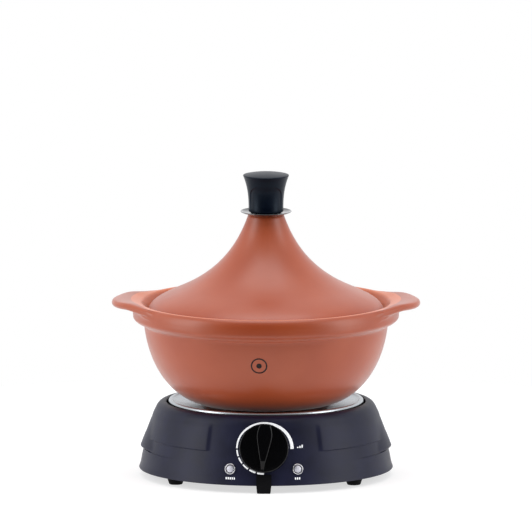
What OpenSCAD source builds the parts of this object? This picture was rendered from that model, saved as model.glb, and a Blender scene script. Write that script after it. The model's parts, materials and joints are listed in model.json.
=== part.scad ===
// Electric tagine: a stoneware bowl and conical lid on a thermostat-controlled hot plate.
// Millimetres. Origin on the ground under the pot's axis, +Z up, controls towards -Y.

/* [Bowl] */
// Outer radius of the bowl's rim band
bowl_r = 133; // [131:0.5:136]
// Height of the bowl, foot to rim crest
bowl_h = 102.8; // [101:0.1:106]
// Radius of the bowl's flat foot
bowl_foot_r = 60; // [58:0.5:60]
// Thickness of the bowl's floor
bowl_floor = 9; // [7:0.5:10]
// Distance from the axis to a handle's tip
handle_tip_x = 154.3; // [150:0.1:158]

/* [Lid] */
// Outer radius of the lid's rim
lid_r = 117.5; // [116:0.1:118]
// Height of the lid, rim to neck
lid_h = 99.5; // [97:0.5:104]
// Radius of the lid's neck
neck_r = 18; // [17:0.1:19]
// Height of the lid's knob above its collar
knob_h = 39; // [36:0.5:42]
// Radius of the lid knob's flared top
knob_top_r = 23; // [21.5:0.1:24]
// Radius of the collar under the lid's knob
collar_r = 25.7; // [24:0.1:27]

/* [Base] */
// Gap between the ground and the housing's skirt
foot_gap = 7.5; // [6:0.5:9]
// Radius of the housing where the wall meets the skirt
base_r = 126.4; // [125:0.1:127]
// Height of the housing above its skirt edge
base_h = 67; // [66:0.5:68]
// Lean of the housing's wall from the vertical, degrees
wall_tilt = 14.8; // [14:0.1:15.5]
// Thickness of the housing's wall
wall = 2.6; // [2.2:0.1:3]
// Distance from the axis plane to a round foot, side to side
foot_x = 89; // [86:0.5:91]
// Distance from the axis plane to a round foot, front to back
foot_y = 66; // [63:0.5:68]

/* [Hot plate] */
// Outer radius of the pressed plate
plate_r = 97.5; // [96.5:0.1:98]
// Height of the plate's bead above the skirt edge
bead_h = 69.2; // [68.6:0.2:70.6]
// Height of the plate's raised ring above the skirt edge
ring_h = 65; // [64.8:0.1:65.4]
// Radius of the heating element's ring
element_r = 44; // [42:0.5:45]

/* [Controls] */
// Height of the control knob's centre above the skirt edge
dial_h = 36.2; // [36:0.1:38]
// Radius of the control knob
dial_r = 24.75; // [23:0.25:24.75]
// Angle of each lamp round the housing from the control knob, degrees
lamp_az = 16; // [15.5:0.1:18]
// Height of the lamps above the skirt edge
lamp_h = 15.8; // [15:0.1:17]

/* [Hidden] */

$fn = 96;
curve_steps = 24;
gap = 0.1;

// Heights above the ground
bowl_z = foot_gap + ring_h;
seat_h = 90.8;
lid_z = bowl_z + seat_h;
neck_z = lid_z + lid_h;

// Housing
dial_wall_r = base_r - dial_h * tan(wall_tilt);
wall_top_h = 57;
opening_r = 99.5;
shelf_h = 57;
shelf_t = 2.2;
cover_h = 2;
cover_t = 2;
cover_r = base_r - 3.8;
boss_r = 112;
foot_r = 9.5;
front_foot_w = 15;
front_foot_tip_w = 13.7;
front_foot_top_h = 11;
front_foot_back_y = 118;
front_screw_y = 110.5;
gland_h = 16;
gland_face_y = 126;
gland_bore_r = 3.75;

// Hot plate stack
pan_rim_h = shelf_h + 1;
pan_floor_h = 44;
pan_t = 0.8;
disc_h = ring_h - 2.7;
disc_t = 2;
sheath_r = 3.25;
element_h = disc_h - disc_t - gap - sheath_r;
leg_az = 20;
leg_bend_r = 8;
leg_foot_h = 40;
clamp_top_h = element_h - sheath_r - gap;
clamp_t = 1.5;
stud_circle_r = 30;
stud_r = 2;
bar_t = 1.2;

// Control shaft and knob, along the panel's normal from the panel's face
spindle_r = 3;
bush_r = 4.5;
bracket_z = -9.2;
bracket_t = 1.2;
bracket_screw_x = 19;
dial_back = 0.6;
dial_face = 7;
blade_top = 10.8;
blade_lean = 3.6;

// Wiring, seen from above
terminal_xy = [34, 84];
fuse_xy = [-34, 40];

function bezier(p, n = curve_steps) = [
    for (i = [0:n])
        let (t = i / n, u = 1 - t)
        u * u * u * p[0] + 3 * u * u * t * p[1] + 3 * u * t * t * p[2] + t * t * t * p[3]
];

function arc(centre, r, from, to, n = 6) = [
    for (i = [0:n])
        let (a = from + (to - from) * i / n)
        centre + r * [cos(a), sin(a)]
];

function wall_r(h) = base_r - h * tan(wall_tilt);

function reversed(p) = [for (i = [len(p) - 1:-1:0]) p[i]];

// Corners of a square tube's rings along a path, for the thin flexible leads
function ring_at(path, i, r, sides) =
    let (
        a = path[max(i - 1, 0)],
        b = path[min(i + 1, len(path) - 1)],
        d = (b - a) / norm(b - a),
        side = cross(d, [0.31, 0.17, 0.93]),
        u = side / norm(side),
        v = cross(d, u)
    )
    [for (k = [0:sides - 1]) path[i] + r * (cos(360 * k / sides) * u + sin(360 * k / sides) * v)];

module tube(path, r, sides = 8) {
    rings = len(path);
    points = [for (i = [0:rings - 1]) each ring_at(path, i, r, sides)];
    sides_faces = [
        for (i = [0:rings - 2], k = [0:sides - 1])
            let (m = (k + 1) % sides)
            [i * sides + k, i * sides + m, (i + 1) * sides + m, (i + 1) * sides + k]
    ];
    start_face = [for (k = [sides - 1:-1:0]) k];
    end_face = [for (k = [0:sides - 1]) (rings - 1) * sides + k];
    polyhedron(points, concat([start_face], sides_faces, [end_face]), convexity = 4);
}

// Places children on the sloping wall: local +Z is the wall's outward normal, +Y runs up it
module on_wall(az, h) {
    rotate([0, 0, az])
        translate([0, -wall_r(h), foot_gap + h])
            rotate([90 - wall_tilt, 0, 0])
                children();
}

module above_skirt(h = 0) {
    translate([0, 0, foot_gap + h])
        children();
}

module ring(r_out, r_in, h) {
    difference() {
        cylinder(r = r_out, h = h);
        translate([0, 0, -1])
            cylinder(r = r_in, h = h + 2);
    }
}

module at_corners(x, y) {
    for (sx = [-1, 1], sy = [-1, 1])
        translate([sx * x, sy * y, 0])
            children();
}

module at_studs(angles) {
    for (a = angles)
        rotate([0, 0, a])
            translate([stud_circle_r, 0, 0])
                children();
}

module hex_nut(across, h, bore_r) {
    difference() {
        cylinder(r = across / sqrt(3), h = h, $fn = 6);
        translate([0, 0, -1])
            cylinder(r = bore_r, h = h + 2);
    }
}

// A pan-head screw pointing up, its head below z = 0
module pan_screw(r, length, head_r, head_h) {
    difference() {
        union() {
            cylinder(r = r, h = length);
            translate([0, 0, -head_h])
                cylinder(r1 = head_r * 0.8, r2 = head_r, h = head_h);
        }
        for (a = [0, 90])
            rotate([0, 0, a])
                translate([-head_r * 0.55, -0.4, -head_h - 1])
                    cube([head_r * 1.1, 0.8, 1.8]);
    }
}

// ---- Lid ----

module lid_shell() {
    rim_t = 10.5;
    ceiling = lid_h - 7;
    shoulder_r = lid_r - 35.5;
    shoulder_h = 26.9;
    outer = concat(
        bezier([[neck_r, lid_h], [28.5, 70.1], [44.9, 44.8], [shoulder_r, shoulder_h]]),
        bezier([[shoulder_r, shoulder_h], [shoulder_r + 13, 20.6], [lid_r, 13.1], [lid_r, 3]]),
        arc([lid_r - 3, 3], 3, 0, -90)
    );
    inner = concat(
        arc([lid_r - rim_t + 1.5, 1.5], 1.5, -90, -180),
        bezier([[lid_r - rim_t, 1.5], [lid_r - rim_t, 7.5], [88, 14.2], [77, 20.4]]),
        bezier([[77, 20.4], [40, 38.8], [20.5, 66], [10.5, ceiling - 1]])
    );
    color("sienna")
        translate([0, 0, lid_z])
            rotate_extrude()
                polygon(concat(
                    [[4, lid_h]],
                    outer,
                    inner,
                    [[9, ceiling], [4, ceiling]]
                ));
}

module knob_outline(extra = 0) {
    polygon(concat(
        [[0, 0], [17.4 + extra, 0]],
        bezier([[17.4 + extra, 0], [17.9 + extra, 14], [19 + extra, 22], [21 + extra, 28.5]], 12),
        [[knob_top_r - 0.1 + extra, knob_h - 3.6], [knob_top_r + extra, knob_h - 3]],
        bezier([[knob_top_r - 0.3, knob_h - 2.4], [16, knob_h - 0.6], [8, knob_h], [0, knob_h]], 8)
    ));
}

// The sunken arch-topped face on the front or back of the knob's stem
module knob_arch(side) {
    arch_w = 31;
    straight_h = 17;
    arch_h = 27;
    depth = 0.8;
    half = bezier([
        [arch_w / 2, straight_h],
        [arch_w / 2, arch_h - 2],
        [arch_w / 4, arch_h],
        [0, arch_h]
    ], 10);
    difference() {
        rotate([90, 0, side * 90 + 90])
            linear_extrude(height = 40)
                polygon(concat(
                    [[arch_w / 2, -1]],
                    half,
                    [for (p = reversed(half)) [-p.x, p.y]],
                    [[-arch_w / 2, -1]]
                ));
        rotate_extrude()
            knob_outline(-depth);
    }
}

module lid_knob() {
    color([0.11, 0.12, 0.15])
        translate([0, 0, neck_z + 3.4])
            difference() {
                rotate_extrude()
                    knob_outline();
                knob_arch(1);
                knob_arch(-1);
                difference() {
                    translate([0, 0, -1])
                        cylinder(r = 13.5, h = 27);
                    cylinder(r = 7.5, h = 27);
                }
                translate([0, 0, -1])
                    cylinder(r = 4.5, h = 17);
            }
}

module knob_collar() {
    color([0.13, 0.14, 0.17])
        translate([0, 0, neck_z])
            rotate_extrude()
                polygon(concat(
                    [[3.2, 0.6], [4.2, 0], [15.5, 0]],
                    bezier([[15.5, 0], [19, 0], [22, 0.8], [collar_r, 3.2]], 10),
                    [[collar_r - 0.1, 4.2], [collar_r - 1, 4.4]],
                    bezier([[collar_r - 1.2, 4.3], [21.6, 2.8], [19.5, 2], [16.5, 2]], 10),
                    [[15, 3.3], [3.2, 3.3]]
                ));
}

module knob_insert() {
    color("goldenrod")
        translate([0, 0, neck_z + 3.4])
            ring(4.4, 2.6, 15);
}

module lid_bolt() {
    color("silver")
        translate([0, 0, lid_z + lid_h - 7 - 2.6])
            pan_screw(2.5, 25, 5.2, 2.4);
}

module lid_bolt_washer() {
    color("lightgray")
        translate([0, 0, lid_z + lid_h - 7 - 2.5])
            ring(7, 2.7, 1);
}

module lid_bolt_gasket() {
    color("firebrick")
        translate([0, 0, lid_z + lid_h - 7 - 1.4])
            ring(7.2, 2.7, 1.3);
}

// ---- Bowl ----

module bowl_body() {
    outer = concat(
        bezier([[bowl_foot_r, 0], [bowl_foot_r + 32, 2.7], [116.8, 34.5], [121.8, 78]]),
        bezier([[121.8, 78], [122.3, 81.5], [bowl_r - 2.5, 81.5], [bowl_r - 0.4, 86.5]], 8),
        bezier([[bowl_r, 92.5], [bowl_r, 98], [bowl_r - 2, bowl_h], [bowl_r - 5.5, bowl_h]], 8)
    );
    inner = concat(
        bezier([[127, bowl_h], [124.6, bowl_h], [123.8, bowl_h - 1.5], [123.2, bowl_h - 4]], 6),
        bezier([[120.6, seat_h + 3], [120.2, seat_h + 1], [119.4, seat_h], [118, seat_h]], 5),
        arc([106, seat_h - 2.5], 2.5, 90, 180),
        bezier([[103.5, seat_h - 2.5], [104.5, 78], [107.5, 74], [107.3, 62]], 8),
        bezier([[107.3, 62], [106.5, 30], [84, bowl_floor + 0.4], [52, bowl_floor]])
    );
    rotate_extrude()
        polygon(concat([[0, 0]], outer, inner, [[0, bowl_floor]]));
}

// A flat disc with a rounded edge, the building block of a handle
module puck(r, t) {
    edge = t / 2 - 0.4;
    rotate_extrude($fn = 32)
        polygon(concat(
            [[0, -t / 2]],
            arc([r - edge, -0.4], edge, -90, 0, 4),
            arc([r - edge, 0.4], edge, 0, 90, 4),
            [[0, t / 2]]
        ));
}

module handle(side) {
    mid_h = bowl_h - 1.1;
    difference() {
        hull() {
            translate([side * (handle_tip_x - 32), 0, mid_h + 0.4])
                puck(32, 7.8);
            for (y = [-25, 25])
                translate([side * (handle_tip_x - 20.5), y, mid_h])
                    puck(12, 8.6);
            for (y = [-48, 48])
                translate([side * 116, y, mid_h - 1.4])
                    puck(8, 9);
        }
        translate([0, 0, bowl_h - 20])
            cylinder(r = 127.5, h = 40);
    }
}

module bowl() {
    color("sienna")
        translate([0, 0, bowl_z])
            union() {
                bowl_body();
                handle(1);
                handle(-1);
            }
}

// ---- Base housing ----

module housing_shell() {
    outer = concat(
        [[base_r + 0.6, 0], [base_r - 1, 5], [wall_r(12), 12]],
        bezier([
            [wall_r(wall_top_h), wall_top_h],
            [wall_r(wall_top_h) - 2, base_h - 3],
            [106, base_h],
            [opening_r + 1.5, base_h]
        ], 10)
    );
    inner = concat(
        [[opening_r, base_h - 1.5], [opening_r, base_h - 3.6], [opening_r + 2.5, base_h - 2.7]],
        bezier([
            [opening_r + 2.5, base_h - 2.7],
            [105, base_h - 2.8],
            [wall_r(wall_top_h) - wall - 2, base_h - 5],
            [wall_r(wall_top_h) - wall, wall_top_h]
        ], 8),
        [[wall_r(5) - wall, 5], [base_r - wall, 0]]
    );
    rotate_extrude()
        polygon(concat(outer, inner));
}

// A wedge round the +X or -X direction, half_angle degrees to each side
module side_wedge(side, half_angle) {
    reach = 200;
    corner = reach * [cos(half_angle), sin(half_angle)];
    rotate([0, 0, side > 0 ? 0 : 180])
        linear_extrude(height = 100)
            polygon([[0, 0], [corner.x, -corner.y], [reach, -corner.y], [reach, corner.y], corner]);
}

module side_panel(side) {
    proud = 1.25;
    panel_low = 32;
    intersection() {
        side_wedge(side, 61.5);
        rotate_extrude()
            polygon([
                [wall_r(panel_low) - 1.2, panel_low],
                [wall_r(panel_low) + proud - 0.4, panel_low],
                [wall_r(panel_low) + proud, panel_low + 0.8],
                [wall_r(54) + proud, 54],
                [wall_r(59) - 0.6, 60.5],
                [wall_r(57) - 1.5, 57]
            ]);
    }
}

// The finger lug that swells out of each side panel, a crescent that dies into the wall
module side_lug(side) {
    shift = 49;
    lug_low = 20.8;
    tip_r = 76.75;
    half_length = 50;
    difference() {
        intersection() {
            translate([side > 0 ? 100 : -160, -half_length, 0])
                cube([60, 2 * half_length, 80]);
            translate([side * shift, 0, 0])
                rotate_extrude()
                    polygon(concat(
                        [[wall_r(lug_low) - shift - 12, lug_low]],
                        arc([tip_r - 1.8, lug_low + 1.8], 1.8, -90, 10, 5),
                        bezier([[tip_r - 0.3, 24], [75, 28], [70, 38], [66, 50]], 8),
                        [[wall_r(50) - shift - 12, 50]]
                    ));
        }
        translate([0, 0, -1])
            cylinder(r1 = wall_r(-1) - 1.4, r2 = wall_r(70) - 1.4, h = 71);
    }
}

module cover_boss() {
    translate([0, 0, cover_h + cover_t])
        cylinder(r = 4.5, h = 20);
}

module boss_rib() {
    low = cover_h + cover_t + 0.4;
    rotate([90, 0, 0])
        translate([0, 0, -1.2])
            linear_extrude(height = 2.4)
                polygon([
                    [boss_r, low],
                    [wall_r(low) - 1.3, low],
                    [wall_r(22) - 1.3, 22],
                    [boss_r, 22]
                ]);
}

module gland_pad() {
    translate([0, gland_face_y, gland_h])
        rotate([90, 0, 0])
            cylinder(r = 10.4, h = 9);
}

module base_housing() {
    color([0.16, 0.16, 0.18])
        difference() {
            union() {
                above_skirt() {
                    housing_shell();
                    for (side = [-1, 1]) {
                        side_panel(side);
                        side_lug(side);
                    }
                    for (a = [45:90:315])
                        rotate([0, 0, a]) {
                            translate([boss_r, 0, 0])
                                cover_boss();
                            boss_rib();
                        }
                    translate([0, 0, shelf_h - shelf_t])
                        difference() {
                            cylinder(r = wall_r(shelf_h) - 1.4, h = shelf_t);
                            translate([0, 0, -1])
                                cylinder(r = 94.2, h = shelf_t + 2);
                        }
                    gland_pad();
                }
                for (x = [-bracket_screw_x, bracket_screw_x])
                    on_wall(0, dial_h)
                        translate([x, 0, bracket_z + bracket_t])
                            cylinder(r = 3.4, h = 5.6);
            }
            on_wall(0, dial_h) {
                translate([0, 0, -8])
                    cylinder(r = 5.4, h = 12);
                for (x = [-bracket_screw_x, bracket_screw_x])
                    translate([x, 0, bracket_z])
                        cylinder(r = 1.3, h = 5.4);
            }
            for (az = [-lamp_az, lamp_az])
                on_wall(az, lamp_h)
                    translate([0, 0, -8])
                        cylinder(r = 4.6, h = 12);
            above_skirt() {
                for (a = [45:90:315])
                    rotate([0, 0, a])
                        translate([boss_r, 0, -1])
                            cylinder(r = 1.5, h = 20);
                translate([0, 140, gland_h])
                    rotate([90, 0, 0])
                        cylinder(r = 6.6, h = 40);
                translate([-front_foot_w / 2 - 0.2, -140, -1])
                    cube([front_foot_w + 0.4, 30, front_foot_top_h + 1.2]);
            }
        }
}

module bottom_cover() {
    slots = 20;
    color([0.24, 0.24, 0.26])
        above_skirt(cover_h)
            difference() {
                union() {
                    cylinder(r = cover_r, h = cover_t);
                    at_corners(foot_x, foot_y)
                        cylinder(r = 4, h = cover_t + 8);
                }
                for (a = [45:90:315])
                    rotate([0, 0, a])
                        translate([boss_r, 0, -1])
                            cylinder(r = 1.8, h = 6);
                at_corners(foot_x, foot_y)
                    translate([0, 0, -1])
                        cylinder(r = 1.5, h = 12);
                translate([0, -front_screw_y, -1])
                    cylinder(r = 1.6, h = 6);
                translate([-front_foot_w / 2 - 0.2, -130, -1])
                    cube([front_foot_w + 0.4, 130.4 - front_foot_back_y, 6]);
                for (i = [0:slots - 1])
                    rotate([0, 0, (i + 0.5) * 360 / slots])
                        translate([48, -1.5, -1])
                            cube([26, 3, 6]);
            }
}

// ---- Feet ----

module round_foot() {
    difference() {
        above_skirt(-foot_gap)
            rotate_extrude()
                polygon([
                    [0, 0],
                    [6.2, 0],
                    [6.8, 0.6],
                    [foot_r, 8.4],
                    [foot_r, foot_gap + cover_h],
                    [0, foot_gap + cover_h]
                ]);
        translate([0, 0, -1])
            cylinder(r = 3.8, h = 5);
        cylinder(r = 1.7, h = 20);
    }
}

module rubber_foot(sx, sy) {
    color([0.08, 0.08, 0.09])
        translate([sx * foot_x, sy * foot_y, 0])
            round_foot();
}

module front_foot_block() {
    front_y = base_r + 2.4;
    back_y = front_foot_back_y;
    low_x = front_foot_tip_w / 2;
    top_x = front_foot_w / 2;
    intersection() {
        translate([-top_x, 0, 0])
            rotate([90, 0, 90])
                linear_extrude(height = front_foot_w)
                    polygon([
                        [-front_y, -foot_gap],
                        [-front_y, 0],
                        [-wall_r(front_foot_top_h) - 1.2, front_foot_top_h],
                        [-back_y, front_foot_top_h],
                        [-back_y, -foot_gap]
                    ]);
        translate([0, -back_y + 10, 0])
            rotate([90, 0, 0])
                linear_extrude(height = 40)
                    polygon(concat(
                        [[-top_x, front_foot_top_h], [-top_x, 0]],
                        arc([1.2 - low_x, 1.2 - foot_gap], 1.2, 180, 270, 4),
                        arc([low_x - 1.2, 1.2 - foot_gap], 1.2, 270, 360, 4),
                        [[top_x, 0], [top_x, front_foot_top_h]]
                    ));
    }
}

module front_foot() {
    color([0.09, 0.09, 0.1])
        above_skirt()
            difference() {
                union() {
                    front_foot_block();
                    translate([-6, -front_foot_back_y - 2, cover_h + cover_t])
                        cube([12, 14, 5]);
                }
                translate([0, -front_screw_y, 0])
                    cylinder(r = 1.5, h = 12);
            }
}

module foot_screws() {
    color("silver")
        at_corners(foot_x, foot_y)
            translate([0, 0, 4])
                pan_screw(1.4, 13, 3.2, 1.8);
}

module front_foot_screw() {
    color("silver")
        above_skirt(cover_h)
            translate([0, -front_screw_y, 0])
                pan_screw(1.4, 6, 2.8, 1.6);
}

module cover_screws() {
    color("silver")
        above_skirt(cover_h)
            for (a = [45:90:315])
                rotate([0, 0, a])
                    translate([boss_r, 0, 0])
                        pan_screw(1.4, 15, 3.2, 1.8);
}

// ---- Hot plate and heating element ----

module hot_plate() {
    bead_r = 2.4;
    bead_x = plate_r - bead_r;
    well_h = ring_h - 2.9;
    top = concat(
        arc([bead_x, bead_h - bead_r], bead_r, 0, 150, 10),
        [[90.5, bead_h - 2.4]],
        bezier([[68, well_h + 0.8], [62.5, well_h], [61.6, ring_h], [58.5, ring_h]], 8),
        bezier([[55, ring_h], [52.6, ring_h], [53, disc_h], [50, disc_h]], 6),
        [[0, disc_h]]
    );
    under = concat(
        [[0, disc_h - disc_t], [50.5, disc_h - disc_t]],
        bezier([[51, disc_h - disc_t], [54.5, disc_h - disc_t], [54, 63], [56, 63]], 6),
        bezier([[57.5, 63], [60, 63], [60.5, well_h - 2], [68, well_h - 1.2]], 6),
        [[90, 65.5], [plate_r - 2, 65.6], [plate_r - 2, pan_rim_h + pan_t]]
    );
    color([0.8, 0.81, 0.82])
        above_skirt()
            rotate_extrude()
                polygon(concat([[plate_r, pan_rim_h + pan_t]], top, under));
}

// One end of the element, bent down from the ring through the pan
module element_leg(side) {
    rotate([0, 0, 90 + side * leg_az])
        translate([element_r, 0, 0])
            union() {
                translate([0, 0, -leg_bend_r])
                    rotate([side > 0 ? 180 : 0, -90, 0])
                        rotate_extrude(angle = 90)
                            translate([leg_bend_r, 0])
                                circle(r = sheath_r);
                translate([0, -side * leg_bend_r, leg_foot_h - element_h])
                    cylinder(r = sheath_r, h = element_h - leg_foot_h - leg_bend_r);
                translate([0, 1.5, 0])
                    rotate([90, 0, 0])
                        cylinder(r = sheath_r + 0.08, h = 3);
            }
}

module element_tube() {
    color([0.45, 0.44, 0.43])
        above_skirt(element_h)
            union() {
                rotate([0, 0, 90 + leg_az])
                    rotate_extrude(angle = 360 - 2 * leg_az)
                        translate([element_r, 0])
                            circle(r = sheath_r);
                element_leg(1);
                element_leg(-1);
            }
}

// A leg's foot, seen from above, as [x, y]
function leg_xy(side) =
    let (a = 90 + side * leg_az)
    element_r * [cos(a), sin(a)] + side * leg_bend_r * [sin(a), -cos(a)];

module at_legs() {
    for (side = [-1, 1])
        translate(leg_xy(side))
            children();
}

module element_pins() {
    color("silver")
        above_skirt(leg_foot_h - 12)
            at_legs()
                cylinder(r = 1.3, h = 12);
}

module element_clamp() {
    color("lightgray")
        above_skirt(clamp_top_h - clamp_t)
            difference() {
                cylinder(r = 50, h = clamp_t);
                translate([0, 0, -1])
                    cylinder(r = 14, h = clamp_t + 2);
                at_studs([0:90:270])
                    translate([0, 0, -1])
                        cylinder(r = 2.2, h = clamp_t + 2);
                translate([-24, 36, -1])
                    cube([48, 20, clamp_t + 2]);
            }
}

module reflector_pan() {
    floor_r = 88;
    color([0.72, 0.73, 0.74])
        above_skirt()
            difference() {
                rotate_extrude()
                    polygon([
                        [0, pan_floor_h],
                        [floor_r, pan_floor_h],
                        [93, pan_floor_h + 5],
                        [93.4, pan_rim_h],
                        [98.4, pan_rim_h],
                        [98.4, pan_rim_h + pan_t],
                        [92.6, pan_rim_h + pan_t],
                        [92.2, pan_floor_h + 5.4],
                        [floor_r - 0.4, pan_floor_h + pan_t],
                        [0, pan_floor_h + pan_t]
                    ]);
                at_studs([0:90:270])
                    translate([0, 0, pan_floor_h - 1])
                        cylinder(r = 2.2, h = 4);
                translate([0, 0, pan_floor_h - 1])
                    at_legs()
                        cylinder(r = 4.4, h = 4);
            }
}

module insulation_ring() {
    color("tan")
        above_skirt(shelf_h)
            ring(98.6, 94.4, 1);
}

module plate_studs() {
    color("silver")
        above_skirt(38)
            at_studs([0:90:270])
                cylinder(r = stud_r, h = disc_h - disc_t - 38);
}

module clamp_nuts() {
    color("silver")
        above_skirt(clamp_top_h - clamp_t - 3.2)
            at_studs([0:90:270])
                hex_nut(7, 3.2, stud_r + 0.05);
}

module hold_down_bar() {
    width = 14;
    leg_x = 95;
    low = pan_floor_h - bar_t;
    high = shelf_h - shelf_t;
    color("silver")
        above_skirt()
            difference() {
                rotate([90, 0, 0])
                    translate([0, 0, -width / 2])
                        linear_extrude(height = width)
                            polygon([
                                [-leg_x - 6, high], [-leg_x - 6, high - bar_t], [-leg_x, high - bar_t],
                                [-leg_x, low + 5], [-90, low], [90, low],
                                [leg_x, low + 5], [leg_x, high - bar_t], [leg_x + 6, high - bar_t],
                                [leg_x + 6, high], [leg_x - bar_t, high], [leg_x - bar_t, low + 5.6],
                                [88.6, low + bar_t], [-88.6, low + bar_t],
                                [-leg_x + bar_t, low + 5.6], [-leg_x + bar_t, high]
                            ]);
                at_studs([0, 180])
                    translate([0, 0, low - 1])
                        cylinder(r = 2.2, h = 4);
            }
}

module pan_nuts() {
    color("silver")
        above_skirt() {
            at_studs([0, 180])
                translate([0, 0, pan_floor_h - bar_t - 3.2])
                    hex_nut(7, 3.2, stud_r + 0.05);
            at_studs([90, 270])
                translate([0, 0, pan_floor_h - 3.2])
                    hex_nut(7, 3.2, stud_r + 0.05);
        }
}

// ---- Thermostat ----

module thermostat_body() {
    body = [34, 18, 16];
    color("ivory")
        on_wall(0, dial_h)
            difference() {
                union() {
                    translate([-body.x / 2, -body.y / 2, bracket_z - body.z])
                        cube(body);
                    for (x = [-11, 11])
                        translate([x - 3, -body.y / 2 + 2, bracket_z - body.z - 5])
                            cube([6, 0.8, 6]);
                }
                translate([0, 0, bracket_z - 6.5])
                    cylinder(r = spindle_r + 0.4, h = 10);
            }
}

module thermostat_bush() {
    color("goldenrod")
        on_wall(0, dial_h)
            translate([0, 0, bracket_z])
                ring(bush_r, spindle_r + 0.05, 8.4);
}

module thermostat_nut() {
    color("silver")
        on_wall(0, dial_h)
            translate([0, 0, bracket_z + bracket_t])
                hex_nut(12, 2.2, bush_r + 0.05);
}

module thermostat_bracket() {
    color("lightgray")
        on_wall(0, dial_h)
            translate([0, 0, bracket_z])
                difference() {
                    translate([-24, -10, 0])
                        cube([48, 20, bracket_t]);
                    translate([0, 0, -1])
                        cylinder(r = bush_r + 0.1, h = 4);
                    for (x = [-bracket_screw_x, bracket_screw_x])
                        translate([x, 0, -1])
                            cylinder(r = 1.5, h = 4);
                }
}

module bracket_screws() {
    color("silver")
        on_wall(0, dial_h)
            for (x = [-bracket_screw_x, bracket_screw_x])
                translate([x, 0, bracket_z])
                    pan_screw(1.2, 5, 1.9, 1.5);
}

module thermostat_spindle() {
    color("lightgray")
        on_wall(0, dial_h)
            translate([0, 0, bracket_z - 6])
                difference() {
                    cylinder(r = spindle_r, h = 21.5);
                    translate([1.6, -5, 15.4])
                        cube([4, 10, 8]);
                }
}

// ---- Control knob ----

// The knob's grip: a blade that narrows and slopes down towards its pointer end
module dial_blade() {
    right = concat(
        bezier([[1.8, -dial_r], [2.6, -16], [7.6, -4], [8.3, 9]], 12),
        bezier([[8.3, 9], [8.7, 15], [7.4, 20], [5.6, dial_r]], 8)
    );
    rotate([0, 0, -blade_lean])
        intersection() {
            cylinder(r = dial_r - 1.4, h = 30);
            linear_extrude(height = blade_top)
                polygon(concat(right, [for (p = reversed(right)) [-p.x, p.y]]));
            rotate([90, 0, 90])
                translate([0, 0, -10])
                    linear_extrude(height = 20)
                        polygon([
                            [dial_r, dial_back],
                            [dial_r, blade_top],
                            [-14.5, blade_top],
                            [-dial_r + 1, dial_face],
                            [-dial_r + 1, dial_back]
                        ]);
        }
}

module control_knob() {
    color([0.05, 0.05, 0.06])
        on_wall(0, dial_h)
            difference() {
                union() {
                    rotate_extrude()
                        polygon(concat(
                            [[0, dial_back], [dial_r, dial_back]],
                            arc([dial_r - 1.8, dial_face - 1.4], 1.4, 0, 90, 5),
                            [[dial_r - 3, dial_face - 0.6], [0, dial_face - 0.6]]
                        ));
                    dial_blade();
                }
                difference() {
                    translate([0, 0, dial_back - 1])
                        cylinder(r = dial_r - 2.4, h = 4.8);
                    cylinder(r = 5.6, h = 12);
                }
                difference() {
                    translate([0, 0, dial_back - 1])
                        cylinder(r = spindle_r, h = 7.3);
                    translate([1.6, -5, dial_back])
                        cube([4, 10, 8]);
                }
            }
}

module knob_spring_clip() {
    color("silver")
        on_wall(0, dial_h)
            translate([0, 0, dial_back + 0.4])
                ring(6.2, 5.65, 2.6);
}

// ---- Lamps ----

module lamp_bezel(az) {
    color("silver")
        on_wall(az, lamp_h)
            rotate_extrude()
                polygon(concat(
                    [[3.6, -9], [4.5, -9], [4.5, 0.15], [5.45, 0.15]],
                    arc([4.95, 1], 0.5, 0, 170, 6),
                    [[4.35, 0.4], [3.6, 0.4]]
                ));
}

module lamp_lens(az) {
    color([0.9, 0.9, 0.92])
        on_wall(az, lamp_h)
            rotate_extrude()
                polygon(concat(
                    [[0, -2], [3.5, -2], [3.5, 0.5]],
                    bezier([[3.9, 0.5], [3.9, 2.2], [2.3, 3.6], [0, 3.6]], 8)
                ));
}

module lamp_neon(az) {
    color("orange")
        on_wall(az, lamp_h)
            rotate_extrude()
                polygon(concat([[0, -14], [2.4, -14]], arc([0, -5], 2.4, 0, 90)));
}

module lamp_clip(az) {
    color("silver")
        on_wall(az, lamp_h)
            translate([0, 0, -3.6])
                ring(7, 4.55, 0.5);
}

// ---- Wiring ----

module terminal_block() {
    size = [28, 16, 13];
    color("whitesmoke")
        above_skirt(cover_h + cover_t)
            translate([terminal_xy.x - size.x / 2, terminal_xy.y - size.y / 2, 0])
                difference() {
                    cube(size);
                    for (x = [5, 14, 23]) {
                        translate([x, -1, 6])
                            rotate([-90, 0, 0])
                                cylinder(r = 2.1, h = size.y + 2);
                        for (y = [4, 12])
                            translate([x, y, 6])
                                cylinder(r = 1.8, h = 10);
                    }
                }
}

module terminal_screws() {
    color("goldenrod")
        above_skirt(cover_h + cover_t)
            translate([terminal_xy.x - 14, terminal_xy.y - 8, 0])
                for (x = [5, 14, 23], y = [4, 12])
                    translate([x, y, 8.4])
                        cylinder(r = 1.6, h = 3.6);
}

module thermal_fuse() {
    color("khaki")
        above_skirt(37)
            translate(fuse_xy)
                rotate([0, 90, 0])
                    rotate_extrude()
                        polygon([[0, -9], [2.2, -9], [2.6, -8], [2.6, 8], [2.2, 9], [0, 9]]);
}

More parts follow.
